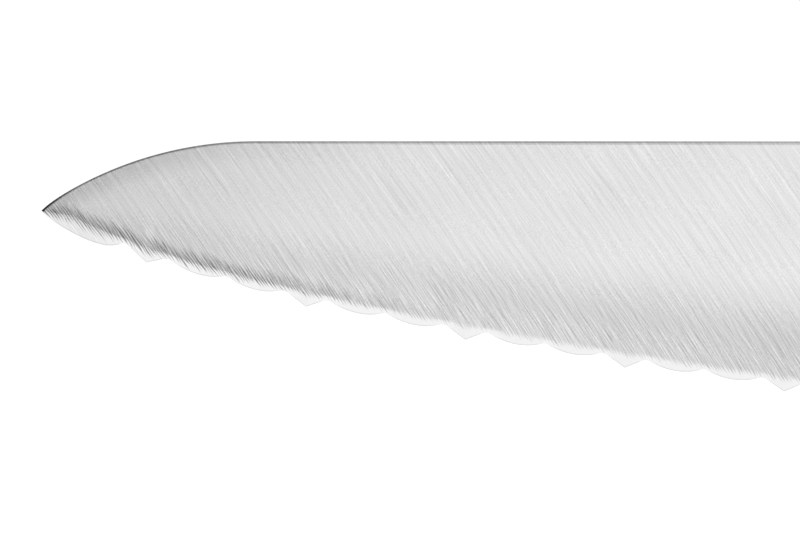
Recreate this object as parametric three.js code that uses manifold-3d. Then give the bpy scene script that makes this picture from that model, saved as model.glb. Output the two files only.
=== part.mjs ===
// A serrated chef knife: a forged blade with half bolster and full tang, two handle scales and three
// two-piece cutlery rivets.
//
// Millimetres, +Z up. The knife stands on its edge in the XZ plane with its point towards -X, so -Y is the
// left side of the blade, where the serration is ground. The origin is under the middle of the knife.
// The outlines are drawn with x running back from the point and depth running down from the spine.

import * as THREE from 'three';
import { mergeVertices } from 'three/addons/utils/BufferGeometryUtils.js';
import Module from 'manifold-3d';

// Blade outline
const BLADE_LENGTH = 200; // point to heel
const BLADE_HEIGHT = 45.4; // spine to edge at the heel
const POINT_DROP = 10.35; // the point lies this far below the spine
const POINT_ROUND = 0.35; // part of that drop where the spine rounds over at the point
const POINT_ROUND_REACH = 1.2; // length scale of that rounding
const SPINE_CURVE = 32; // length over which the spine bends down to the point
const NOSE_DROP = 5.4; // extra fall of the edge just behind the point
const NOSE_REACH = 12; // length scale of that fall
const EDGE_LEVEL_BEYOND = 40; // the edge would run level with the spine this far behind the heel

// Blade section
const SPINE_THICKNESS = 2.6; // at the heel
const POINT_THICKNESS = 0.8; // where the flat sides reach the point
const EDGE_THICKNESS = 0.5; // behind the bevel, at the heel
const SPINE_ROUND = 0.65; // rounding of both corners of the spine
const SPINE_ROUND_LIMIT = 0.65; // most of the half thickness that this rounding may take
const CONVEX_REACH = 5; // height of the convex band above the bevel
const CONVEX_DEPTH = 0.04; // the band leans in this much on each side
const SLIM_POINT = 0.3; // largest half thickness, as a share of the height of a section at the point
const APEX_SHARE = 0.75; // the edge lies this near the right face, because the bevel is ground on the left

// Serration: one pointed tooth, then rounded lobes, over and over
const TOOTH_WIDTH = 6.9;
const TOOTH_HEIGHT = 1.65; // tooth tip below the valleys
const TOOTH_FOOT = 0.5; // flat run at each foot of a tooth
const LOBE_WIDTH = 8.45;
const LOBE_HEIGHT = 0.92; // lobe crest below the valleys
const LOBES_PER_TOOTH = 2;
const NOSE_LENGTH = 12.2; // smooth stretch behind the point
const NOSE_BULGE = 0.45; // how far that stretch swells past the tooth line
const NOSE_ROLL = 6; // power of its roll into the first valley, higher is later
const HEEL_LAND = 3; // shortest smooth stretch left at the heel
const BEVEL_HEIGHT = 0.7; // height of the ground bevel above the valleys
const BEVEL_FOLLOW = 0.15; // share of the wave that the top of the bevel follows
const BEVEL_SHARE = 0.4; // most of a section's height that the bevel takes, at the point

// Heel and bolster
const HEEL_RAKE = 2; // the back of the heel leans this far
const CHOIL_RADIUS = 6; // hollow where the heel meets the bolster
const CHOIL_EASING = 0.3; // the back of the heel is eased, not sharp
const BOLSTER_REACH = 12; // the flare starts this far ahead of the heel
const BOLSTER_LENGTH = 14; // heel to the shoulder that the scales butt against
const COLLAR_LENGTH = 7; // full-width end of the bolster
const BOLSTER_HEIGHT = 25;
const BOLSTER_RISE = 0.4; // the bolster stands proud of the spine
const FLARE_ROOT = 0.5; // half width of the flare where it starts inside the blade
const FLARE_INSET = 1; // the flare starts this far below the spine
const FLARE_LIFT = 5; // and this far above the underside of the bolster
const FLARE_SWEEP = 1.5; // power of the flare's curve, higher keeps it slim for longer

// Handle
const HANDLE_LENGTH = 118; // shoulder to butt
const HANDLE_WIDTH = 18;
const HANDLE_ROUND = 6.5; // rounding of the four long corners
const ROUND_LIMIT = 0.95; // most of a half side that the rounding may take
const GRIP_ARCH = 1.2; // rise of the back of the handle
const GRIP_HOLLOW = 1.6; // hollow along the belly of the handle
const BUTT_FALL = 3; // the back falls away towards the butt
const BUTT_DROP = 5.5; // the belly drops to a hook at the butt
const BUTT_TOP_ROUND = 13;
const BUTT_BOTTOM_ROUND = 5;
const BUTT_SIDE_ROUND = 3;
const TANG_THICKNESS = 2.8;
const GLUE_LINE = 0.05; // between tang and scale
const SHOULDER_GAP = 0.1; // between bolster and scale

// Rivets
const RIVET_FRONT_INSET = 21; // shoulder to the first rivet
const RIVET_REAR_INSET = 27; // butt to the last rivet
const RIVET_HEAD = 7.5;
const RIVET_HEAD_DEPTH = 2.5; // head thickness, ground flush with the scale
const SLEEVE_DIAMETER = 5;
const SLEEVE_BORE = 3.4;
const PIN_CLEARANCE = 0.1; // round the pin in its sleeve
const HOLE_CLEARANCE = 0.1; // round heads and sleeves in their holes
const SEAT_GAP = 0.05; // under the heads
const END_GAP = 0.4; // ahead of the ends of pin and sleeve

// Fineness of the curved surfaces
const SPINE_STEPS = 3;
const NOSE_STEPS = 14;
const TOOTH_STEPS = 10;
const LOBE_STEPS = 10;
const HEEL_STEPS = 6;
const CHOIL_STEPS = 6;
const FLARE_STEPS = 16;
const GRIP_STEPS = 20;
const BUTT_STEPS = 10;
const CORNER_STEPS = 6;
const RIVET_SIDES = 28;

const shoulder = BLADE_LENGTH + BOLSTER_LENGTH;
const butt = shoulder + HANDLE_LENGTH;
const flareStart = BLADE_LENGTH - BOLSTER_REACH;
const flareEnd = shoulder - COLLAR_LENGTH;
const halfWidth = HANDLE_WIDTH / 2;
const headSeat = halfWidth - RIVET_HEAD_DEPTH;

// A block larger than the knife, for cutting solids off at a plane
const BEYOND = butt + BLADE_HEIGHT;

const wasm = await Module();
wasm.setup();

const forgedSteel = new THREE.MeshStandardMaterial({ color: 0xd2d4d6, roughness: 0.34, metalness: 1 });
const mouldedPlastic = new THREE.MeshStandardMaterial({ color: 0x1b1b1c, roughness: 0.55, metalness: 0 });
const rivetSteel = new THREE.MeshStandardMaterial({ color: 0xc6c8ca, roughness: 0.28, metalness: 1 });

function mix(a, b, share) {
  return a + (b - a) * share;
}

function bulge(share) {
  return 1 - Math.sqrt(1 - share * share);
}

// Places a point of the drawing in the part: x from the point, y across, depth below the spine.
function place(x, y, depth) {
  return new THREE.Vector3(x - butt / 2, y, BLADE_HEIGHT - depth);
}

// Turns a closed geometry into a solid that can be joined and cut.
function solidOf(geometry) {
  geometry.deleteAttribute('normal');
  geometry.deleteAttribute('uv');
  const merged = mergeVertices(geometry, 1e-4);
  const corners = merged.index.array;
  const triVerts = [];
  for (let i = 0; i < corners.length; i += 3) {
    const [a, b, c] = corners.slice(i, i + 3);
    if (a !== b && b !== c && c !== a) triVerts.push(a, b, c);
  }
  return new wasm.Manifold(new wasm.Mesh({
    numProp: 3,
    vertProperties: new Float32Array(merged.attributes.position.array),
    triVerts: new Uint32Array(triVerts),
  }));
}

function meshOf(name, solid, material) {
  const { vertProperties, triVerts } = solid.getMesh();
  const geometry = new THREE.BufferGeometry();
  geometry.setAttribute('position', new THREE.BufferAttribute(vertProperties, 3));
  geometry.setIndex(new THREE.BufferAttribute(triVerts, 1));
  geometry.computeVertexNormals();
  const mesh = new THREE.Mesh(geometry, material);
  mesh.name = name;
  return mesh;
}

// Skins a row of sections that all have the same number of points, and closes both ends.
function loft(sections) {
  const count = sections[0].length;
  const positions = sections.flat().flatMap((point) => point.toArray());
  const index = [];
  for (let ring = 0; ring < sections.length - 1; ring++) {
    for (let i = 0; i < count; i++) {
      const a = ring * count + i;
      const b = ring * count + (i + 1) % count;
      index.push(a, b, a + count, a + count, b, b + count);
    }
  }
  const capOf = (section) => {
    const outline = section.map((point) => new THREE.Vector2(point.y, point.z));
    return THREE.ShapeUtils.triangulateShape(outline, []);
  };
  const last = (sections.length - 1) * count;
  for (const [a, b, c] of capOf(sections[0])) index.push(a, c, b);
  for (const [a, b, c] of capOf(sections.at(-1))) index.push(last + a, last + b, last + c);
  const geometry = new THREE.BufferGeometry();
  geometry.setAttribute('position', new THREE.Float32BufferAttribute(positions, 3));
  geometry.setIndex(index);
  return solidOf(geometry);
}

// A block that spans x and y as given and is as tall as the knife needs.
function slab(xFrom, xTo, yFrom, yTo) {
  const geometry = new THREE.BoxGeometry(xTo - xFrom, yTo - yFrom, BEYOND);
  const centre = place((xFrom + xTo) / 2, (yFrom + yTo) / 2, 0);
  geometry.translate(centre.x, centre.y, centre.z);
  return solidOf(geometry);
}

// Depth of the spine: straight, then one arc that is tangent to it, rounded over at the very point.
function spineDepth(x) {
  const fall = POINT_DROP - POINT_ROUND;
  const radius = (SPINE_CURVE ** 2 + fall ** 2) / (2 * fall);
  const run = Math.max(0, SPINE_CURVE - x);
  const arc = radius - Math.sqrt(radius ** 2 - run ** 2);
  return arc + POINT_ROUND * Math.exp(-x / POINT_ROUND_REACH);
}

// Depth of the line that the tooth tips touch: a parabola with a faster fall behind the point.
function toothLine(x) {
  const levelAt = BLADE_LENGTH + EDGE_LEVEL_BEYOND;
  const fall = (reach) => levelAt * reach - reach ** 2 / 2;
  const belly = BLADE_HEIGHT - POINT_DROP - NOSE_DROP;
  return POINT_DROP + NOSE_DROP * (1 - Math.exp(-x / NOSE_REACH)) + belly * fall(x) / fall(BLADE_LENGTH);
}

// The waves of the edge, as depth below the valleys over a stretch that runs from 0 to 1.
// The nose leaves the point on the tooth line, swells a little and rolls up into the first valley.
function noseWave(share) {
  const swell = Math.sqrt(share) * (1 - share);
  const swellPeak = Math.sqrt(1 / 3) * (1 - 1 / 3);
  return TOOTH_HEIGHT * (1 - share ** NOSE_ROLL) + NOSE_BULGE * swell / swellPeak;
}

function toothWave(share) {
  const half = TOOTH_WIDTH / 2;
  const climb = half * (1 - Math.abs(2 * share - 1)) - TOOTH_FOOT;
  return TOOTH_HEIGHT * Math.max(0, climb) / (half - TOOTH_FOOT);
}

function lobeWave(share) {
  return LOBE_HEIGHT * (1 - (2 * share - 1) ** 2);
}

function heelWave(share) {
  return TOOTH_HEIGHT * Math.sqrt(1 - (1 - share) ** 2);
}

// Points along the edge from the point to the heel, as x and depth below the valleys.
function edgePoints() {
  const tooth = { width: TOOTH_WIDTH, steps: TOOTH_STEPS, wave: toothWave };
  const lobe = { width: LOBE_WIDTH, steps: LOBE_STEPS, wave: lobeWave };
  const pattern = [tooth, ...Array(LOBES_PER_TOOTH).fill(lobe)];
  const points = [];
  let x = 0;
  const add = ({ width, steps, wave }) => {
    for (let i = 0; i < steps; i++) points.push({ x: x + width * i / steps, wave: wave(i / steps) });
    x += width;
  };
  add({ width: NOSE_LENGTH, steps: NOSE_STEPS, wave: noseWave });
  for (let i = 0; x + pattern[i % pattern.length].width < BLADE_LENGTH - HEEL_LAND; i++) {
    add(pattern[i % pattern.length]);
  }
  add({ width: BLADE_LENGTH - x, steps: HEEL_STEPS, wave: heelWave });
  points.push({ x: BLADE_LENGTH, wave: heelWave(1) });
  return points;
}

// Half thickness of the flat sides, which are two true planes that meet below the edge.
function halfThickness(x, depth) {
  const inward = (SPINE_THICKNESS - EDGE_THICKNESS) / 2 / BLADE_HEIGHT;
  const forward = ((SPINE_THICKNESS - POINT_THICKNESS) / 2 - inward * POINT_DROP) / BLADE_LENGTH;
  return SPINE_THICKNESS / 2 - forward * (BLADE_LENGTH - x) - inward * depth;
}

// One section of the blade, counter-clockwise as seen from the handle: down the left side, round the edge
// and up the right side. Bevel is the depth where the sides end, and apex is where the edge lies across.
function bladeSection(x, bevel, edge, apex, convexDepth) {
  const spine = spineDepth(x);
  const height = edge - spine;
  const half = (depth) => Math.min(halfThickness(x, depth), SLIM_POINT * height);
  const round = Math.min(SPINE_ROUND, SPINE_ROUND_LIMIT * half(spine));
  const middle = (spine + round + bevel) / 2;
  const convex = Math.max(bevel - CONVEX_REACH, middle);
  const lean = Math.min(convexDepth, half(bevel) / 4);
  const side = [];
  for (let i = 0; i <= SPINE_STEPS; i++) {
    const angle = Math.PI / 2 * i / SPINE_STEPS;
    const depth = spine + round * (1 - Math.cos(angle));
    side.push([half(depth) - round * (1 - Math.sin(angle)), depth]);
  }
  side.push([half(convex), convex], [half(bevel) - lean, bevel]);
  const left = side.map(([y, depth]) => place(x, -y, depth));
  const right = side.map(([y, depth]) => place(x, y, depth)).reverse();
  return [...left, place(x, apex * (half(bevel) - lean), edge), ...right];
}

function edgeSection({ x, wave }) {
  const valley = toothLine(x) - TOOTH_HEIGHT;
  const edge = valley + wave;
  const ground = BEVEL_HEIGHT + wave * (1 - BEVEL_FOLLOW);
  const bevel = edge - Math.min(ground, BEVEL_SHARE * (edge - spineDepth(x)));
  return bladeSection(x, bevel, edge, APEX_SHARE, CONVEX_DEPTH);
}

// Behind the heel the blade shortens along a raked back and a hollow arc, and ends inside the bolster.
function heelSections() {
  const underside = BOLSTER_HEIGHT - BOLSTER_RISE - 2 * CHOIL_EASING;
  const sections = [];
  for (let i = 0; i <= CHOIL_STEPS; i++) {
    const angle = Math.PI / 2 * i / CHOIL_STEPS;
    const x = BLADE_LENGTH + HEEL_RAKE + CHOIL_RADIUS * (1 - Math.cos(angle));
    const edge = underside + CHOIL_RADIUS * (1 - Math.sin(angle));
    sections.push(bladeSection(x, edge - CHOIL_EASING, edge, 0, 0));
  }
  return sections;
}

// Profile of bolster and handle at x: top and bottom depth, half width, and how far the flare has opened.
function gripProfile(x) {
  const share = Math.max(0, (x - shoulder) / HANDLE_LENGTH);
  const arch = Math.sin(Math.PI * share);
  let top = -BOLSTER_RISE - GRIP_ARCH * arch + BUTT_FALL * share ** 3;
  let bottom = BOLSTER_HEIGHT - BOLSTER_RISE - GRIP_HOLLOW * arch ** 2 + BUTT_DROP * share ** 3;
  let width = halfWidth;
  let flare = 1;
  if (x < flareEnd) {
    const run = (x - flareStart) / (flareEnd - flareStart);
    flare = THREE.MathUtils.smoothstep(run ** FLARE_SWEEP, 0, 1);
    top = mix(FLARE_INSET, top, flare);
    bottom = mix(bottom - FLARE_LIFT, bottom, flare);
    width = mix(FLARE_ROOT, width, flare);
  }
  const rounding = (radius) => radius * bulge(Math.max(0, 1 - (butt - x) / radius));
  return {
    top: top + rounding(BUTT_TOP_ROUND),
    bottom: bottom - rounding(BUTT_BOTTOM_ROUND),
    width: width - rounding(BUTT_SIDE_ROUND),
    flare,
  };
}

// One section of bolster or handle: a rectangle with round corners, which stretch to an oval in the flare.
function gripSection(x) {
  const { top, bottom, width, flare } = gripProfile(x);
  const longest = ROUND_LIMIT * (bottom - top) / 2;
  const across = Math.min(HANDLE_ROUND, ROUND_LIMIT * width, longest);
  const upright = mix(longest, across, flare);
  const section = [];
  for (let corner = 1; corner <= 4; corner++) {
    const y = corner === 1 || corner === 2 ? across - width : width - across;
    const depth = corner === 1 || corner === 4 ? top + upright : bottom - upright;
    for (let i = 0; i <= CORNER_STEPS; i++) {
      const angle = Math.PI / 2 * (corner + i / CORNER_STEPS);
      section.push(place(x, y + across * Math.cos(angle), depth - upright * Math.sin(angle)));
    }
  }
  return section;
}

// Bolster, tang and scales are ground flush with each other, so one form gives the outside of all three.
function gripForm() {
  const stations = [];
  for (let i = 0; i < FLARE_STEPS; i++) stations.push(mix(flareStart, flareEnd, i / FLARE_STEPS));
  stations.push(flareEnd);
  for (let i = 0; i < GRIP_STEPS; i++) {
    stations.push(mix(shoulder, butt - BUTT_TOP_ROUND, i / GRIP_STEPS));
  }
  for (let i = 0; i <= BUTT_STEPS; i++) {
    stations.push(butt - BUTT_TOP_ROUND * (1 - Math.sin(Math.PI / 2 * i / BUTT_STEPS)));
  }
  return loft(stations.map(gripSection));
}

// Revolves a profile of radius and distance across the knife, and sets it at a rivet.
function turned(profile, rivet) {
  const points = profile.map(([radius, y]) => new THREE.Vector2(radius, y));
  const geometry = new THREE.LatheGeometry(points, RIVET_SIDES);
  const centre = place(rivet.x, 0, rivet.depth);
  geometry.translate(centre.x, 0, centre.z);
  return solidOf(geometry);
}

function rivets() {
  const first = shoulder + RIVET_FRONT_INSET;
  const last = butt - RIVET_REAR_INSET;
  return ['front', 'middle', 'rear'].map((name, i) => {
    const x = mix(first, last, i / 2);
    const { top, bottom } = gripProfile(x);
    return { name, x, depth: (top + bottom) / 2 };
  });
}

// Through hole for the sleeve, with a counterbore for the head at both ends.
function rivetHole(rivet) {
  const head = RIVET_HEAD / 2 + HOLE_CLEARANCE;
  const sleeve = SLEEVE_DIAMETER / 2 + HOLE_CLEARANCE;
  const seat = headSeat - SEAT_GAP;
  return turned([
    [0, -HANDLE_WIDTH], [head, -HANDLE_WIDTH], [head, -seat], [sleeve, -seat],
    [sleeve, seat], [head, seat], [head, HANDLE_WIDTH], [0, HANDLE_WIDTH],
  ], rivet);
}

// Head on the left scale, with the solid pin that enters the sleeve.
function rivetPin(rivet) {
  const pin = SLEEVE_BORE / 2 - PIN_CLEARANCE;
  return turned([
    [0, -HANDLE_WIDTH], [RIVET_HEAD / 2, -HANDLE_WIDTH], [RIVET_HEAD / 2, -headSeat], [pin, -headSeat],
    [pin, headSeat - END_GAP], [0, headSeat - END_GAP],
  ], rivet);
}

// Head on the right scale, with the sleeve that takes the pin.
function rivetSleeve(rivet) {
  const bore = SLEEVE_BORE / 2;
  const sleeve = SLEEVE_DIAMETER / 2;
  const mouth = END_GAP - headSeat;
  return turned([
    [0, headSeat], [bore, headSeat], [bore, mouth], [sleeve, mouth],
    [sleeve, headSeat], [RIVET_HEAD / 2, headSeat], [RIVET_HEAD / 2, HANDLE_WIDTH], [0, HANDLE_WIDTH],
  ], rivet);
}

function forging(form, holes) {
  const bladeBody = loft([...edgePoints().map(edgeSection), ...heelSections()]);
  const bolster = form.intersect(slab(0, shoulder, -HANDLE_WIDTH, HANDLE_WIDTH));
  const tang = form.intersect(slab(BLADE_LENGTH, BEYOND, -TANG_THICKNESS / 2, TANG_THICKNESS / 2));
  return bladeBody.add(bolster).add(tang).subtract(holes);
}

function scale(form, holes, side) {
  const inner = side * (TANG_THICKNESS / 2 + GLUE_LINE);
  const outer = side * HANDLE_WIDTH;
  const room = slab(shoulder + SHOULDER_GAP, BEYOND, Math.min(inner, outer), Math.max(inner, outer));
  return form.intersect(room).subtract(holes);
}

const form = gripForm();
const allRivets = rivets();
const holes = allRivets.map(rivetHole).reduce((all, hole) => all.add(hole));

const knife = new THREE.Group();
knife.name = 'serrated_chef_knife';
knife.add(meshOf('blade', forging(form, holes), forgedSteel));
knife.add(meshOf('scale_left', scale(form, holes, -1), mouldedPlastic));
knife.add(meshOf('scale_right', scale(form, holes, 1), mouldedPlastic));
for (const rivet of allRivets) {
  knife.add(meshOf(`rivet_${rivet.name}_pin`, rivetPin(rivet).intersect(form), rivetSteel));
  knife.add(meshOf(`rivet_${rivet.name}_sleeve`, rivetSleeve(rivet).intersect(form), rivetSteel));
}

export default knife;
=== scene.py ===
"""A serrated chef knife on a white light table: forged blade with half bolster and full tang, two handle
scales and three two-piece cutlery rivets, dressed for a studio picture of its left side."""

import math

import bpy
import numpy as np
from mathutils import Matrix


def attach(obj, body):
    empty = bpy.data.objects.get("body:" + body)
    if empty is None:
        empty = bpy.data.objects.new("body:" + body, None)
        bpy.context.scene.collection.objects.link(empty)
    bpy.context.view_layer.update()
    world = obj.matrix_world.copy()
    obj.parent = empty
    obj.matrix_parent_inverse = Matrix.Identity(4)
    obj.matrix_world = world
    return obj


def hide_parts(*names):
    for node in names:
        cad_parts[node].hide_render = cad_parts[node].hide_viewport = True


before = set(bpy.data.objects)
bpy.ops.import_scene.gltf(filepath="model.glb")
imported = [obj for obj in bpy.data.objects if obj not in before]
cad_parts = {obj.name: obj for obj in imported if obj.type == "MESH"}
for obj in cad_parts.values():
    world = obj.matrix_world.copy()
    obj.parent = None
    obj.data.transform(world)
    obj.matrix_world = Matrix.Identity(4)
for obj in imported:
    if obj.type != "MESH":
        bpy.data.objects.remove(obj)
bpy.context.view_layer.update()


# Camera
# A long lens that looks square on to the left side of the blade, from so near that only the front of the
# blade is in the picture.
PHOTO_WIDTH = 800
PHOTO_HEIGHT = 533
PHOTO_SCALE = 6700  # pixels to a metre
POINT_PIXEL_X = 41.5
POINT_PIXEL_Y = 210.5
LENS = 135  # millimetres
SENSOR = 36  # millimetres

blade_point = min((v.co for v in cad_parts["blade"].data.vertices), key=lambda co: co.x)
aim_x = blade_point.x + (PHOTO_WIDTH / 2 - POINT_PIXEL_X) / PHOTO_SCALE
aim_z = blade_point.z - (PHOTO_HEIGHT / 2 - POINT_PIXEL_Y) / PHOTO_SCALE
distance = LENS / SENSOR * PHOTO_WIDTH / PHOTO_SCALE
bpy.ops.object.camera_add(location=(aim_x, -distance, aim_z), rotation=(math.pi / 2, 0, 0))
camera = bpy.context.object
camera.name = "photo_camera"
camera.data.lens = LENS
camera.data.sensor_width = SENSOR
bpy.context.scene.camera = camera


# Blade
# One drop forging of hardened stainless steel: blade, half bolster and full tang. The sides are ground on
# a belt at a slant, the serration is ground into the left side with a shaped wheel, and bolster and tang
# get a finer satin finish.
JOIN_DISTANCE = 1e-6


def linear(hex_colour):
    """Turns an sRGB hex colour into the linear colour that a shader takes."""
    channels = [int(hex_colour[i:i + 2], 16) / 255 for i in (1, 3, 5)]
    return [c / 12.92 if c <= 0.04045 else ((c + 0.055) / 1.055) ** 2.4 for c in channels] + [1]


def add(tree, kind, settings=None, inputs=None):
    """Adds a node, gives it its settings, and sets its inputs or links them to other nodes' outputs."""
    made = tree.nodes.new(kind)
    for name, value in (settings or {}).items():
        setattr(made, name, value)
    for socket, value in (inputs or {}).items():
        if isinstance(value, bpy.types.NodeSocket):
            tree.links.new(value, made.inputs[socket])
        else:
            made.inputs[socket].default_value = value
    return made


def new_material(name):
    """A material with an empty node tree, and that tree."""
    material = bpy.data.materials.new(name)
    material.use_nodes = True
    material.node_tree.nodes.clear()
    return material, material.node_tree


def merged_copy(node_name, piece_name):
    """A piece with the CAD node's shape, its loose triangles joined and its imported normals cleared."""
    piece = bpy.data.objects.new(piece_name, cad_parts[node_name].data.copy())
    bpy.context.collection.objects.link(piece)
    bpy.ops.object.select_all(action="DESELECT")
    piece.select_set(True)
    bpy.context.view_layer.objects.active = piece
    piece.data.materials.clear()
    bpy.ops.object.mode_set(mode="EDIT")
    bpy.ops.mesh.select_all(action="SELECT")
    bpy.ops.mesh.remove_doubles(threshold=JOIN_DISTANCE)
    bpy.ops.mesh.normals_make_consistent(inside=False)
    bpy.ops.object.mode_set(mode="OBJECT")
    bpy.ops.mesh.customdata_custom_splitnormals_clear()
    return piece


blade = merged_copy("blade", "forged_blade")

# The points of one blade section share their x. The lowest is the edge, the next two end the ground bevel,
# and the highest lie on the spine, which the bolster hides at the heel but which runs on level there. All
# of these lines meet at the point. The heights between them are kept on the mesh, in metres, because the
# finishes follow them. The right side has no bevel, and its grind runs out over the edge.
RIGHT_OVERRUN = 0.003
FLAT_REACH = 0.00135  # the flat sides stay this near the middle, while bolster and tang stand further out
FEWEST_POINTS = 5
BOLSTER_BOTTOM = 0.0195  # above the lowest point of the edge
BOLSTER_AHEAD = 0.012  # of the heel
MICROMETRE_DIGITS = 6
heel_x = min((vertex.co for vertex in blade.data.vertices), key=lambda co: co.z).x
bolster_start = heel_x - BOLSTER_AHEAD
sections = {}
for vertex in blade.data.vertices:
    sections.setdefault(round(vertex.co.x, MICROMETRE_DIGITS), []).append(vertex.co)
section_x = [
    x for x, points in sorted(sections.items())
    if x < heel_x + JOIN_DISTANCE and len(points) >= FEWEST_POINTS
    and max(abs(co.y) for co in points) < FLAT_REACH
    and (x < bolster_start or min(co.z for co in points) < BOLSTER_BOTTOM)
]
section_z = [sorted(co.z for co in sections[x]) for x in section_x]
section_x.insert(0, blade_point.x)
section_z.insert(0, [blade_point.z] * FEWEST_POINTS)
vertex_x = [vertex.co.x for vertex in blade.data.vertices]
edge_z = np.interp(vertex_x, section_x, [z[0] for z in section_z])
bevel_z = np.interp(vertex_x, section_x, [z[1] for z in section_z])
spine_z = np.interp(vertex_x, section_x, np.maximum.accumulate([z[-1] for z in section_z]))
blade_heights = blade.data.attributes.new("blade_heights", "FLOAT_VECTOR", "CORNER")
for face in blade.data.polygons:
    for corner in face.loop_indices:
        index = blade.data.loops[corner].vertex_index
        z = blade.data.vertices[index].co.z
        bevel = bevel_z[index] if face.normal.y < 0 else edge_z[index] - RIGHT_OVERRUN
        blade_heights.data[corner].vector = (z - bevel, spine_z[index] - z, z - edge_z[index])

# Belt-ground steel: bright grey with fine slanting lines, coarser just above the bevel, with painted shade
# there and on other parts of the blade. Below, what ends in ALONG is a stretch of the blade in metres
# behind the point, and what ends in SHARE is a part of the height from the bevel up to the spine.
BLADE_GREY = "#E1E1E1"
ground_steel, tree = new_material("belt_ground_stainless_steel")
place = add(tree, "ShaderNodeTexCoord").outputs["Object"]
axes = add(tree, "ShaderNodeSeparateXYZ", None, {"Vector": place})
along = axes.outputs["X"]
height = axes.outputs["Z"]
kept_heights = add(tree, "ShaderNodeAttribute", {"attribute_name": "blade_heights"}).outputs["Vector"]
heights = add(tree, "ShaderNodeSeparateXYZ", None, {"Vector": kept_heights})
above_bevel = heights.outputs["X"]
below_spine = heights.outputs["Y"]
above_edge = heights.outputs["Z"]
face_height = add(tree, "ShaderNodeMath", {"operation": "ADD"}, {
    0: above_bevel, 1: below_spine,
}).outputs["Value"]
share = add(tree, "ShaderNodeMath", {"operation": "DIVIDE"}, {
    0: above_bevel, 1: face_height,
}).outputs["Value"]

# The grind runs down towards the handle at a slant, and bows a little, as the belt does. It is drawn flat,
# as seen from the side, with x along a grind line and y across it.
GRIND_ANGLE = math.radians(58.9)
GRIND_BOW = 1.36
grind_turn = (0, 0, -GRIND_ANGLE)
squared = add(tree, "ShaderNodeMath", {"operation": "MULTIPLY"}, {0: height, 1: height}).outputs["Value"]
bowed = add(tree, "ShaderNodeMath", {"operation": "MULTIPLY_ADD"}, {
    0: squared, 1: GRIND_BOW, 2: along,
}).outputs["Value"]
side_view = add(tree, "ShaderNodeCombineXYZ", None, {"X": bowed, "Y": height}).outputs["Vector"]

# The grind itself is too fine to show, so it is drawn as soft streaks, half a millimetre wide.
STREAK_LENGTH = 0.030
STREAK_WIDTH = 0.0005
STREAK_CONTRAST = 0.05
streak_place = add(tree, "ShaderNodeMapping", {"vector_type": "TEXTURE"}, {
    "Vector": side_view, "Rotation": grind_turn, "Scale": (STREAK_LENGTH, STREAK_WIDTH, 1),
}).outputs["Vector"]
streak = add(tree, "ShaderNodeTexNoise", {"noise_dimensions": "2D"}, {
    "Vector": streak_place, "Scale": 1, "Detail": 2, "Roughness": 0.6,
}).outputs["Fac"]

# The belt's joint and grit repeat, so wider and evener lines lie among the streaks. A wave texture has
# twenty radians to a unit.
WAVE_RADIANS = 20
BELT_LENGTH = 0.010
BELT_PITCH = 0.00155
BELT_UNEVENNESS = 3
BELT_CONTRAST = 0.048
belt_place = add(tree, "ShaderNodeMapping", {"vector_type": "TEXTURE"}, {
    "Vector": side_view, "Rotation": grind_turn,
    "Scale": (BELT_LENGTH, BELT_PITCH * WAVE_RADIANS / math.tau, 1),
}).outputs["Vector"]
belt = add(tree, "ShaderNodeTexWave", {"bands_direction": "Y"}, {
    "Vector": belt_place, "Scale": 1, "Distortion": BELT_UNEVENNESS, "Detail": 2,
}).outputs["Fac"]

# Single scratches are long thin lenses, some darker than the grind and some lighter, and stronger on the
# upper half of the face.
SCRATCH_LENGTH = 0.015
SCRATCH_PITCH = 0.00036
SCRATCH_RIM = 0.40
SCRATCH_CORE = 0.05
SCRATCH_CONTRAST = 0.20
SCRATCH_CONTRAST_ABOVE = 0.28
SCRATCH_SHARE = (0.5, 0.8)
scratch_place = add(tree, "ShaderNodeMapping", {"vector_type": "TEXTURE"}, {
    "Vector": side_view, "Rotation": grind_turn, "Scale": (SCRATCH_LENGTH, SCRATCH_PITCH, 1),
}).outputs["Vector"]
scratch = add(tree, "ShaderNodeTexVoronoi", {"voronoi_dimensions": "2D"}, {
    "Vector": scratch_place, "Scale": 1,
})
scratch_line = add(tree, "ShaderNodeMapRange", None, {
    "Value": scratch.outputs["Distance"], "From Min": SCRATCH_RIM, "From Max": SCRATCH_CORE,
}).outputs["Result"]
scratch_tone = add(tree, "ShaderNodeSeparateColor", None, {
    "Color": scratch.outputs["Color"],
}).outputs["Red"]
scratch_contrast = add(tree, "ShaderNodeMapRange", None, {
    "Value": share, "From Min": SCRATCH_SHARE[0], "From Max": SCRATCH_SHARE[1],
    "To Min": SCRATCH_CONTRAST, "To Max": SCRATCH_CONTRAST_ABOVE,
}).outputs["Result"]
scratch_weight = add(tree, "ShaderNodeMath", {"operation": "MULTIPLY"}, {
    0: scratch_line, 1: scratch_contrast,
}).outputs["Value"]

# Towards the edge the belt leaves a coarser hatch of short furrows, each with painted shade on one side and
# a painted highlight on the other.
HATCH_LENGTH = 0.0036
HATCH_WIDTH = 0.00018
HATCH_CONTRAST = 0.33
HATCH_CONTRAST_ABOVE = 0.115
HATCH_SHARE = (0.05, 0.45)
MID_TONE = 0.5
hatch_place = add(tree, "ShaderNodeMapping", {"vector_type": "TEXTURE"}, {
    "Vector": side_view, "Rotation": grind_turn, "Scale": (HATCH_LENGTH, HATCH_WIDTH, 1),
}).outputs["Vector"]
beside = add(tree, "ShaderNodeVectorMath", {"operation": "ADD"}, {
    0: hatch_place, 1: (0, 1, 0),
}).outputs["Vector"]
shaded_side, lit_side = (
    add(tree, "ShaderNodeTexNoise", {"noise_dimensions": "2D"}, {
        "Vector": line_place, "Scale": 1, "Detail": 0,
    }).outputs["Fac"]
    for line_place in (hatch_place, beside)
)
furrow_side_shading = add(tree, "ShaderNodeMath", {"operation": "SUBTRACT"}, {
    0: lit_side, 1: shaded_side,
}).outputs["Value"]
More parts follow.
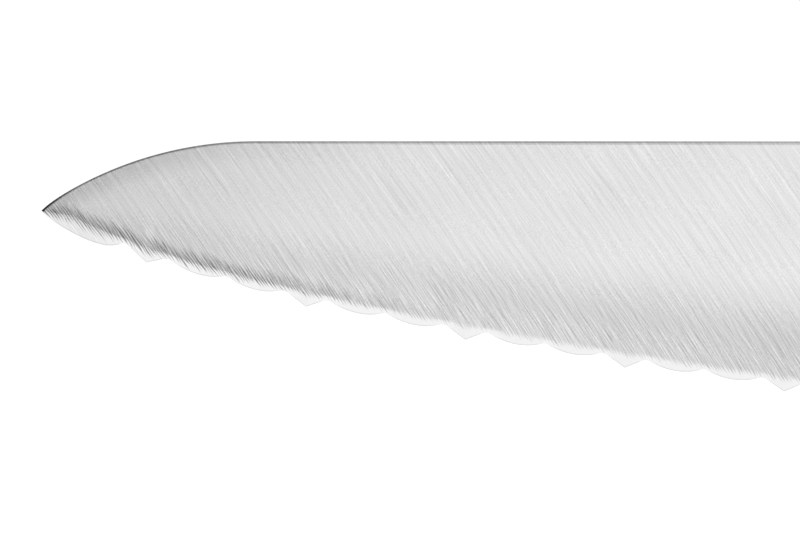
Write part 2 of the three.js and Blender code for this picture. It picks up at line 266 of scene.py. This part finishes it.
hatch = add(tree, "ShaderNodeMath", {"operation": "ADD"}, {0: furrow_side_shading, 1: MID_TONE}).outputs["Value"]
hatch_contrast = add(tree, "ShaderNodeMapRange", None, {
    "Value": share, "From Min": HATCH_SHARE[0], "From Max": HATCH_SHARE[1],
    "To Min": HATCH_CONTRAST, "To Max": HATCH_CONTRAST_ABOVE,
}).outputs["Result"]

# Evener furrows lie between the lines of the hatch.
FURROW_LENGTH = 0.0045
FURROW_PITCH = 0.0013
FURROW_UNEVENNESS = 6
FURROW_PART = 0.19  # of the hatch's contrast
furrow_place = add(tree, "ShaderNodeMapping", {"vector_type": "TEXTURE"}, {
    "Vector": side_view, "Rotation": grind_turn,
    "Scale": (FURROW_LENGTH, FURROW_PITCH * WAVE_RADIANS / math.tau, 1),
}).outputs["Vector"]
furrow = add(tree, "ShaderNodeTexWave", {"bands_direction": "Y"}, {
    "Vector": furrow_place, "Scale": 1, "Distortion": FURROW_UNEVENNESS, "Detail": 2,
}).outputs["Fac"]
furrow_contrast = add(tree, "ShaderNodeMath", {"operation": "MULTIPLY"}, {
    0: hatch_contrast, 1: FURROW_PART,
}).outputs["Value"]

# Along the bevel that hatch is a comb.
COMB_LENGTH = 0.004
COMB_PITCH = 0.00038
COMB_UNEVENNESS = 8
comb_place = add(tree, "ShaderNodeMapping", {"vector_type": "TEXTURE"}, {
    "Vector": side_view, "Rotation": grind_turn,
    "Scale": (COMB_LENGTH, COMB_PITCH * WAVE_RADIANS / math.tau, 1),
}).outputs["Vector"]
comb = add(tree, "ShaderNodeTexWave", {"bands_direction": "Y"}, {
    "Vector": comb_place, "Scale": 1, "Distortion": COMB_UNEVENNESS, "Detail": 2,
}).outputs["Fac"]

# The comb is cut in strokes, and each has a depth above the bevel and a reach below it of its own.
STROKE_LENGTH = 0.006
STROKE_WIDTH = 0.0003
stroke_place = add(tree, "ShaderNodeMapping", {"vector_type": "TEXTURE"}, {
    "Vector": side_view, "Rotation": grind_turn, "Scale": (STROKE_LENGTH, STROKE_WIDTH, 1),
}).outputs["Vector"]
stroke_colour = add(tree, "ShaderNodeTexVoronoi", {"voronoi_dimensions": "2D"}, {
    "Vector": stroke_place, "Scale": 1,
}).outputs["Color"]
stroke = add(tree, "ShaderNodeSeparateColor", None, {"Color": stroke_colour})
stroke_depth = stroke.outputs["Red"]
stroke_reach = stroke.outputs["Green"]

# The face ends a little above the bevel line, but the teeth of the comb run over it, furthest near the
# point.
COMB_ALONG = (0.004, 0.045)
OVERRUN_AT_POINT = 0.0014
OVERRUN = 0.0009
COMB_STOP_AT_POINT = 0
COMB_STOP = 0.0002
LINE_FADE_AT_POINT = 0.0006
LINE_FADE = 0.0004
SHORTEST_STROKE = 0.4
overrun, comb_stop, line_fade = (
    add(tree, "ShaderNodeMapRange", None, {
        "Value": along,
        "From Min": blade_point.x + COMB_ALONG[0], "From Max": blade_point.x + COMB_ALONG[1],
        "To Min": at_point, "To Max": behind,
    }).outputs["Result"]
    for at_point, behind in (
        (OVERRUN_AT_POINT, OVERRUN), (COMB_STOP_AT_POINT, COMB_STOP), (LINE_FADE_AT_POINT, LINE_FADE),
    )
)
stroke_share = add(tree, "ShaderNodeMapRange", None, {
    "Value": stroke_reach, "To Min": SHORTEST_STROKE,
}).outputs["Result"]
comb_end = add(tree, "ShaderNodeMath", {"operation": "MULTIPLY"}, {
    0: stroke_share, 1: overrun,
}).outputs["Value"]
face_end = add(tree, "ShaderNodeMath", {"operation": "SUBTRACT"}, {
    0: above_bevel, 1: comb_stop,
}).outputs["Value"]
ragged_end = add(tree, "ShaderNodeMath", {"operation": "MULTIPLY_ADD"}, {
    0: comb, 1: comb_end, 2: face_end,
}).outputs["Value"]
ragged_fade = add(tree, "ShaderNodeMath", {"operation": "DIVIDE"}, {
    0: ragged_end, 1: line_fade,
}).outputs["Value"]
on_face = add(tree, "ShaderNodeMapRange", {"interpolation_type": "SMOOTHSTEP"}, {
    "Value": ragged_fade, "From Min": -1, "From Max": 1,
}).outputs["Result"]

# Near the point, just above the bevel, the hatch is deeper and the steel is darkened with painted shade,
# which the hatch lines run through.
SHADE_BAND_REACH = 0.0016
SHADE_BAND_VARIETY = 0.7
SHADE_BAND_DARK = 0.13
SHADE_BAND_LINES = 0.38
SHADE_BAND_ALONG = (0.02, 0.07)
shade_band_top = add(tree, "ShaderNodeMath", {"operation": "MULTIPLY"}, {
    0: stroke_depth, 1: SHADE_BAND_VARIETY * SHADE_BAND_REACH,
}).outputs["Value"]
shade_band_height = add(tree, "ShaderNodeMath", {"operation": "SUBTRACT"}, {
    0: above_bevel, 1: shade_band_top,
}).outputs["Value"]
shade_band_fade = add(tree, "ShaderNodeMapRange", {"interpolation_type": "SMOOTHSTEP"}, {
    "Value": shade_band_height, "From Min": 0, "From Max": SHADE_BAND_REACH, "To Min": 1, "To Max": 0,
}).outputs["Result"]
shade_band_along = add(tree, "ShaderNodeMapRange", {"interpolation_type": "SMOOTHSTEP"}, {
    "Value": along,
    "From Min": blade_point.x + SHADE_BAND_ALONG[0], "From Max": blade_point.x + SHADE_BAND_ALONG[1],
    "To Min": 1, "To Max": 0,
}).outputs["Result"]
shade_and_hatch_strength = add(tree, "ShaderNodeMath", {"operation": "MULTIPLY_ADD"}, {
    0: comb, 1: SHADE_BAND_LINES, 2: SHADE_BAND_DARK,
}).outputs["Value"]
shade_band = add(tree, "ShaderNodeMath", {"operation": "MULTIPLY"}, {
    0: shade_band_fade, 1: shade_band_along,
}).outputs["Value"]
painted_shade_and_hatch = add(tree, "ShaderNodeMath", {"operation": "MULTIPLY"}, {
    0: shade_band, 1: shade_and_hatch_strength,
}).outputs["Value"]

# The lower third of the face is darkened with painted shade, more so towards the handle.
BELLY_DARK_AT_POINT = 0.10
BELLY_DARK = 0.235
BELLY_ALONG = (0.02, 0.11)
BELLY_SHARE = (0.12, 0.45)
belly_along = add(tree, "ShaderNodeMapRange", None, {
    "Value": along,
    "From Min": blade_point.x + BELLY_ALONG[0], "From Max": blade_point.x + BELLY_ALONG[1],
    "To Min": BELLY_DARK_AT_POINT, "To Max": BELLY_DARK,
}).outputs["Result"]
belly_shade = add(tree, "ShaderNodeMapRange", {"interpolation_type": "SMOOTHSTEP"}, {
    "Value": share, "From Min": BELLY_SHARE[0], "From Max": BELLY_SHARE[1],
    "To Min": belly_along, "To Max": 0,
}).outputs["Result"]

# The back near the point gets painted shade too, and its rim gets painted shade down to black at the very
# point.
BACK_DARK = 0.16
BACK_REACH = 0.005
BACK_ALONG = (0.01, 0.055)
POINT_BLACK = "#000000"
POINT_DARK = 1
POINT_REACH = 0.0065
POINT_RIM = 0.0003
back_fade = add(tree, "ShaderNodeMapRange", {"interpolation_type": "SMOOTHERSTEP"}, {
    "Value": below_spine, "From Min": 0, "From Max": BACK_REACH, "To Min": 1, "To Max": 0,
}).outputs["Result"]
back_along = add(tree, "ShaderNodeMapRange", {"interpolation_type": "SMOOTHSTEP"}, {
    "Value": along,
    "From Min": blade_point.x + BACK_ALONG[0], "From Max": blade_point.x + BACK_ALONG[1],
    "To Min": BACK_DARK, "To Max": 0,
}).outputs["Result"]
back_shade = add(tree, "ShaderNodeMath", {"operation": "MULTIPLY"}, {
    0: back_fade, 1: back_along,
}).outputs["Value"]
point_fade = add(tree, "ShaderNodeMapRange", {"interpolation_type": "SMOOTHSTEP"}, {
    "Value": below_spine, "From Min": POINT_RIM, "From Max": 2 * POINT_RIM, "To Min": 1, "To Max": 0,
}).outputs["Result"]
point_along = add(tree, "ShaderNodeMapRange", {"interpolation_type": "SMOOTHSTEP"}, {
    "Value": along, "From Min": blade_point.x, "From Max": blade_point.x + POINT_REACH,
    "To Min": POINT_DARK, "To Max": 0,
}).outputs["Result"]
point_shade = add(tree, "ShaderNodeMath", {"operation": "MULTIPLY"}, {
    0: point_fade, 1: point_along,
}).outputs["Value"]

# The round back gets painted shade, so it is darker than the sides. It widens behind the point, and its
# crown gets a painted highlight towards the handle.
SPINE_ROUND_AT_POINT = 0.0002
SPINE_ROUND = 0.00055
SPINE_ROUND_ALONG = (0, 0.06)
SPINE_FADE = 0.0001
SPINE_SHADE_AT_POINT = 0.5
SPINE_SHADE = 0.2
SPINE_SHADE_ALONG = (0.015, 0.045)
CROWN_HIGHLIGHT = 0.30
CROWN_ALONG = (0.08, 0.11)
CROWN_DEPTH = 0.0002
spine_round, round_shade_along, crown_along = (
    add(tree, "ShaderNodeMapRange", None, {
        "Value": along, "From Min": blade_point.x + stretch[0], "From Max": blade_point.x + stretch[1],
        "To Min": at_point, "To Max": behind,
    }).outputs["Result"]
    for stretch, at_point, behind in (
        (SPINE_ROUND_ALONG, SPINE_ROUND_AT_POINT, SPINE_ROUND),
        (SPINE_SHADE_ALONG, SPINE_SHADE_AT_POINT, SPINE_SHADE),
        (CROWN_ALONG, 0, CROWN_HIGHLIGHT),
    )
)
under_round = add(tree, "ShaderNodeMath", {"operation": "SUBTRACT"}, {
    0: below_spine, 1: spine_round,
}).outputs["Value"]
round_shade = add(tree, "ShaderNodeMapRange", {"interpolation_type": "SMOOTHSTEP"}, {
    "Value": under_round, "From Min": -SPINE_FADE, "From Max": SPINE_FADE,
    "To Min": round_shade_along, "To Max": 0,
}).outputs["Result"]
crown_highlight = add(tree, "ShaderNodeMapRange", {"interpolation_type": "SMOOTHSTEP"}, {
    "Value": below_spine, "From Min": CROWN_DEPTH, "From Max": 2 * CROWN_DEPTH,
    "To Min": crown_along, "To Max": 0,
}).outputs["Result"]
spine_shade_and_highlight = add(tree, "ShaderNodeMath", {"operation": "SUBTRACT"}, {
    0: round_shade, 1: crown_highlight,
}).outputs["Value"]

# A fine grain lies over all of it.
GRAIN_SIZE = 0.00016
GRAIN_CONTRAST = 0.36
grain = add(tree, "ShaderNodeTexNoise", None, {
    "Vector": place, "Scale": 1 / GRAIN_SIZE, "Detail": 1,
}).outputs["Fac"]

tone = add(tree, "ShaderNodeMapRange", {"clamp": False}, {
    "Value": streak, "To Min": 1 - STREAK_CONTRAST, "To Max": 1 + STREAK_CONTRAST,
}).outputs["Result"]
for pattern, contrast in (
    (belt, BELT_CONTRAST), (scratch_tone, scratch_weight), (hatch, hatch_contrast),
    (furrow, furrow_contrast), (grain, GRAIN_CONTRAST),
):
    off_middle = add(tree, "ShaderNodeMath", {"operation": "SUBTRACT"}, {
        0: pattern, 1: MID_TONE,
    }).outputs["Value"]
    tone = add(tree, "ShaderNodeMath", {"operation": "MULTIPLY_ADD"}, {
        0: off_middle, 1: contrast, 2: tone,
    }).outputs["Value"]
# The painted shade above the bevel, on the belly, at the back and on the round back darkens the tone, and
# the painted highlight on the crown lightens it.
for shade in (painted_shade_and_hatch, belly_shade, back_shade, spine_shade_and_highlight):
    tone = add(tree, "ShaderNodeMath", {"operation": "SUBTRACT"}, {0: tone, 1: shade}).outputs["Value"]
face_grey = add(tree, "ShaderNodeMix", {"data_type": "RGBA", "blend_type": "MULTIPLY"}, {
    "Factor": 1, "A": linear(BLADE_GREY), "B": tone,
}).outputs["Result"]

# The bevel is bright from the wheel, a little duller and streaky near the point. Where it is tall, on lobes
# and teeth, a thin line of painted shade follows the very edge.
BEVEL_GREY = "#E7E7E7"
BEVEL_DULL = 0.10
BEVEL_STREAKS = 0.16
BEVEL_DULL_ALONG = (0.006, 0.014)
EDGE_SHADE_GREY = "#D6D6D6"
EDGE_LINE = 0.00012
LOW_BEVEL = 0.0008
TALL_BEVEL = 0.0013
bevel_height = add(tree, "ShaderNodeMath", {"operation": "SUBTRACT"}, {
    0: above_edge, 1: above_bevel,
}).outputs["Value"]
no_line = add(tree, "ShaderNodeMapRange", {"interpolation_type": "SMOOTHSTEP"}, {
    "Value": bevel_height, "From Min": LOW_BEVEL, "From Max": TALL_BEVEL, "To Min": 1, "To Max": 0,
}).outputs["Result"]
on_bevel = add(tree, "ShaderNodeMapRange", {"interpolation_type": "SMOOTHSTEP"}, {
    "Value": above_edge, "From Min": EDGE_LINE, "From Max": 2 * EDGE_LINE, "To Min": no_line, "To Max": 1,
}).outputs["Result"]
lined_bevel = add(tree, "ShaderNodeMix", {"data_type": "RGBA"}, {
    "Factor": on_bevel, "A": linear(EDGE_SHADE_GREY), "B": linear(BEVEL_GREY),
}).outputs["Result"]
bevel_streaks = add(tree, "ShaderNodeMapRange", {"clamp": False}, {
    "Value": hatch,
    "To Min": 1 - BEVEL_DULL - BEVEL_STREAKS / 2, "To Max": 1 - BEVEL_DULL + BEVEL_STREAKS / 2,
}).outputs["Result"]
near_point = add(tree, "ShaderNodeMapRange", {"interpolation_type": "SMOOTHSTEP"}, {
    "Value": along,
    "From Min": blade_point.x + BEVEL_DULL_ALONG[0], "From Max": blade_point.x + BEVEL_DULL_ALONG[1],
    "To Min": 1, "To Max": 0,
}).outputs["Result"]
bevel_grey = add(tree, "ShaderNodeMix", {"data_type": "RGBA", "blend_type": "MULTIPLY"}, {
    "Factor": near_point, "A": lined_bevel, "B": bevel_streaks,
}).outputs["Result"]

# Face and bevel meet in the comb, the point is darkened with painted shade, and the streaks also make the
# gloss uneven.
GRIND_ROUGHNESS = (0.25, 0.35)
STREAK_DEPTH = 0.00002
side_grey = add(tree, "ShaderNodeMix", {"data_type": "RGBA"}, {
    "Factor": on_face, "A": bevel_grey, "B": face_grey,
}).outputs["Result"]
grey = add(tree, "ShaderNodeMix", {"data_type": "RGBA"}, {
    "Factor": point_shade, "A": side_grey, "B": linear(POINT_BLACK),
}).outputs["Result"]
roughness = add(tree, "ShaderNodeMapRange", None, {
    "Value": streak, "To Min": GRIND_ROUGHNESS[0], "To Max": GRIND_ROUGHNESS[1],
}).outputs["Result"]
bump = add(tree, "ShaderNodeBump", None, {"Distance": STREAK_DEPTH, "Height": streak}).outputs["Normal"]
shader = add(tree, "ShaderNodeBsdfPrincipled", None, {
    "Base Color": grey, "Metallic": 1, "Roughness": roughness, "Normal": bump,
})
add(tree, "ShaderNodeOutputMaterial", None, {"Surface": shader.outputs["BSDF"]})

# Satin steel: brushed across with a fine belt, so its highlights are soft and drawn out along the knife.
SATIN_GREY = "#D6D6D5"
SATIN_LENGTH = 0.012
SATIN_WIDTH = 0.00025
SATIN_DEPTH = 0.000008
SATIN_TONE = (0.86, 1.08)
SATIN_ROUGHNESS = (0.34, 0.48)
satin_steel, tree = new_material("satin_forged_steel")
brush_place = add(tree, "ShaderNodeMapping", {"vector_type": "TEXTURE"}, {
    "Vector": add(tree, "ShaderNodeTexCoord").outputs["Object"],
    "Scale": (SATIN_WIDTH, SATIN_LENGTH, SATIN_LENGTH),
}).outputs["Vector"]
brush = add(tree, "ShaderNodeTexNoise", None, {
    "Vector": brush_place, "Scale": 1, "Detail": 2,
}).outputs["Fac"]
tone = add(tree, "ShaderNodeMapRange", None, {
    "Value": brush, "To Min": SATIN_TONE[0], "To Max": SATIN_TONE[1],
}).outputs["Result"]
grey = add(tree, "ShaderNodeMix", {"data_type": "RGBA", "blend_type": "MULTIPLY"}, {
    "Factor": 1, "A": linear(SATIN_GREY), "B": tone,
}).outputs["Result"]
roughness = add(tree, "ShaderNodeMapRange", None, {
    "Value": brush, "To Min": SATIN_ROUGHNESS[0], "To Max": SATIN_ROUGHNESS[1],
}).outputs["Result"]
bump = add(tree, "ShaderNodeBump", None, {"Distance": SATIN_DEPTH, "Height": brush}).outputs["Normal"]
shader = add(tree, "ShaderNodeBsdfPrincipled", None, {
    "Base Color": grey, "Metallic": 1, "Roughness": roughness, "Normal": bump,
})
add(tree, "ShaderNodeOutputMaterial", None, {"Surface": shader.outputs["BSDF"]})

# Bolster and tang are satin. Their faces run smoothly into each other, and stay crisp where they meet the
# flat sides, as do the sides and the bevel.
FLAT_SLOPE = 0.999
BLADE_CREASE = math.radians(12)
SATIN_CREASE = math.radians(35)
blade.data.materials.append(ground_steel)
blade.data.materials.append(satin_steel)
for face in blade.data.polygons:
    off_flat = abs(face.center.y) > FLAT_REACH or abs(face.normal.y) < FLAT_SLOPE
    face.material_index = int(off_flat and face.center.x > bolster_start and face.center.z > BOLSTER_BOTTOM)
bpy.ops.object.shade_smooth_by_angle(angle=BLADE_CREASE)
blade.active_material_index = 1
bpy.ops.object.mode_set(mode="EDIT")
bpy.ops.mesh.select_mode(type="FACE")
bpy.ops.mesh.select_all(action="DESELECT")
bpy.ops.object.material_slot_select()
bpy.ops.mesh.mark_sharp(clear=True)
bpy.ops.mesh.region_to_loop()
bpy.ops.mesh.mark_sharp()
bpy.ops.mesh.select_all(action="DESELECT")
bpy.ops.mesh.edges_select_sharp(sharpness=SATIN_CREASE)
bpy.ops.mesh.mark_sharp()
bpy.ops.object.mode_set(mode="OBJECT")
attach(blade, "root")
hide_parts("blade")


# Handle scales
# Two scales of black acetal plastic, injection moulded, riveted to the tang with a thin glue line and
# ground flush with it. Their flat sides and round corners keep a fine even mould grain.
SCALE_BLACK = "#1B1B1C"
ACETAL_IOR = 1.48
MOULD_GRAIN = 0.0004  # the real grain is a tenth of this, too fine to show
MOULD_DEPTH = 0.00001
MOULD_TONE = (0.8, 1.2)
FLOW_SIZE = 1 / 60  # about 17 mm
FLOW_ROUGHNESS = (0.36, 0.50)
SCALE_CREASE = math.radians(25)

# Moulded acetal: a deep black with a soft sheen, a little uneven where the plastic flowed into the mould.
scale_plastic, tree = new_material("moulded_black_acetal")
place = add(tree, "ShaderNodeTexCoord").outputs["Object"]
mould_grain = add(tree, "ShaderNodeTexNoise", None, {
    "Vector": place, "Scale": 1 / MOULD_GRAIN, "Detail": 2,
}).outputs["Fac"]
flow = add(tree, "ShaderNodeTexNoise", None, {
    "Vector": place, "Scale": 1 / FLOW_SIZE, "Detail": 2,
}).outputs["Fac"]
roughness = add(tree, "ShaderNodeMapRange", None, {
    "Value": flow, "To Min": FLOW_ROUGHNESS[0], "To Max": FLOW_ROUGHNESS[1],
}).outputs["Result"]
tone = add(tree, "ShaderNodeMapRange", None, {
    "Value": mould_grain, "To Min": MOULD_TONE[0], "To Max": MOULD_TONE[1],
}).outputs["Result"]
black = add(tree, "ShaderNodeMix", {"data_type": "RGBA", "blend_type": "MULTIPLY"}, {
    "Factor": 1, "A": linear(SCALE_BLACK), "B": tone,
}).outputs["Result"]
bump = add(tree, "ShaderNodeBump", None, {"Distance": MOULD_DEPTH, "Height": mould_grain}).outputs["Normal"]
shader = add(tree, "ShaderNodeBsdfPrincipled", None, {
    "Base Color": black, "Roughness": roughness, "IOR": ACETAL_IOR, "Normal": bump,
})
add(tree, "ShaderNodeOutputMaterial", None, {"Surface": shader.outputs["BSDF"]})

for side in ("left", "right"):
    scale = merged_copy(f"scale_{side}", f"handle_scale_{side}")
    scale.data.materials.append(scale_plastic)
    bpy.ops.object.shade_smooth_by_angle(angle=SCALE_CREASE)
    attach(scale, "root")
    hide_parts(f"scale_{side}")


# Rivets
# Three cutlery rivets of stainless steel, each a pin with a head on the left that is pressed into a sleeve
# with a head on the right. The heads are ground flush with the scales and polished.
RIVET_GREY = "#D0D0CF"
POLISH_LENGTH = 0.006
POLISH_WIDTH = 0.00015
POLISH_DEPTH = 0.000004
POLISH_TONE = (0.84, 1.08)
POLISH_ROUGHNESS = (0.16, 0.28)
RIVET_CREASE = math.radians(30)

# Polished steel: brighter and glossier than the satin, with faint lines along the handle from the grinding.
rivet_steel, tree = new_material("polished_rivet_steel")
polish_place = add(tree, "ShaderNodeMapping", {"vector_type": "TEXTURE"}, {
    "Vector": add(tree, "ShaderNodeTexCoord").outputs["Object"],
    "Scale": (POLISH_LENGTH, POLISH_WIDTH, POLISH_WIDTH),
}).outputs["Vector"]
polish = add(tree, "ShaderNodeTexNoise", None, {
    "Vector": polish_place, "Scale": 1, "Detail": 2,
}).outputs["Fac"]
tone = add(tree, "ShaderNodeMapRange", None, {
    "Value": polish, "To Min": POLISH_TONE[0], "To Max": POLISH_TONE[1],
}).outputs["Result"]
grey = add(tree, "ShaderNodeMix", {"data_type": "RGBA", "blend_type": "MULTIPLY"}, {
    "Factor": 1, "A": linear(RIVET_GREY), "B": tone,
}).outputs["Result"]
roughness = add(tree, "ShaderNodeMapRange", None, {
    "Value": polish, "To Min": POLISH_ROUGHNESS[0], "To Max": POLISH_ROUGHNESS[1],
}).outputs["Result"]
bump = add(tree, "ShaderNodeBump", None, {"Distance": POLISH_DEPTH, "Height": polish}).outputs["Normal"]
shader = add(tree, "ShaderNodeBsdfPrincipled", None, {
    "Base Color": grey, "Metallic": 1, "Roughness": roughness, "Normal": bump,
})
add(tree, "ShaderNodeOutputMaterial", None, {"Surface": shader.outputs["BSDF"]})

for row_place in ("front", "middle", "rear"):
    for half in ("pin", "sleeve"):
        node_name = f"rivet_{row_place}_{half}"
        rivet = merged_copy(node_name, f"{row_place}_rivet_{half}")
        rivet.data.materials.append(rivet_steel)
        bpy.ops.object.shade_smooth_by_angle(angle=RIVET_CREASE)
        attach(rivet, "root")
        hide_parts(node_name)


# Floor and light
# A white light table that glows, so it is as pale as the background and shows hardly a shadow. The tent
# above it is white low down and dim overhead, and a black flag stands beside the point of the blade.
TABLE_WHITE = "#FFFFFF"
SHEET_GREY = "#959595"
TABLE_SIZE = 12
TABLE_GLOW = 0.95

# Light table: an even white glow through a pale sheet.
table_white, tree = new_material("white_light_table")
glow = add(tree, "ShaderNodeEmission", None, {"Color": linear(TABLE_WHITE), "Strength": TABLE_GLOW})
sheet = add(tree, "ShaderNodeBsdfDiffuse", None, {"Color": linear(SHEET_GREY)})
both = add(tree, "ShaderNodeAddShader", None, {0: glow.outputs["Emission"], 1: sheet.outputs["BSDF"]})
add(tree, "ShaderNodeOutputMaterial", None, {"Surface": both.outputs["Shader"]})
bpy.ops.mesh.primitive_plane_add(size=TABLE_SIZE)
table = bpy.context.object
table.name = "light_table"
table.data.materials.append(table_white)

# Flag cloth: a dull black that gives the front of the blade something dark to mirror.
CLOTH_BLACK = "#303030"
FLAG_LENGTH = 0.8
FLAG_AHEAD = 0.15
FLAG_HEIGHT = 0.22
FLAG_GAP = 0.11
flag_black, tree = new_material("black_flag_cloth")
cloth = add(tree, "ShaderNodeBsdfDiffuse", None, {"Color": linear(CLOTH_BLACK)})
add(tree, "ShaderNodeOutputMaterial", None, {"Surface": cloth.outputs["BSDF"]})
bpy.ops.mesh.primitive_plane_add(size=1, rotation=(0, math.pi / 2, 0))
flag = bpy.context.object
flag.name = "black_flag"
flag.location = (blade_point.x - FLAG_GAP, -FLAG_AHEAD - FLAG_LENGTH / 2, FLAG_HEIGHT / 2)
flag.scale = (FLAG_HEIGHT, FLAG_LENGTH, 1)
flag.data.materials.append(flag_black)
flag.visible_camera = False

# Tent: the light falls off from the walls to the roof, and what the camera sees behind the table is white.
TENT_WHITE = "#FFFFFF"
TENT_RISE = (0.5, 0.95)  # the upward part of a direction, from wall to roof
TENT_LIGHT = (0.95, 0.50)
BACKDROP_LIGHT = 1.05
world = bpy.data.worlds.new("light_tent")
bpy.context.scene.world = world
world.use_nodes = True
tree = world.node_tree
tree.nodes.clear()
up = add(tree, "ShaderNodeSeparateXYZ", None, {
    "Vector": add(tree, "ShaderNodeTexCoord").outputs["Generated"],
}).outputs["Z"]
tent_light = add(tree, "ShaderNodeMapRange", {"interpolation_type": "SMOOTHSTEP"}, {
    "Value": up, "From Min": TENT_RISE[0], "From Max": TENT_RISE[1],
    "To Min": TENT_LIGHT[0], "To Max": TENT_LIGHT[1],
}).outputs["Result"]
tent = add(tree, "ShaderNodeBackground", None, {"Color": linear(TENT_WHITE), "Strength": tent_light})
backdrop = add(tree, "ShaderNodeBackground", None, {
    "Color": linear(TENT_WHITE), "Strength": BACKDROP_LIGHT,
})
seen = add(tree, "ShaderNodeLightPath")
mixed = add(tree, "ShaderNodeMixShader", None, {
    0: seen.outputs["Is Camera Ray"], 1: tent.outputs["Background"], 2: backdrop.outputs["Background"],
})
add(tree, "ShaderNodeOutputWorld", None, {"Surface": mixed.outputs["Shader"]})
bpy.context.scene.view_settings.view_transform = "Standard"
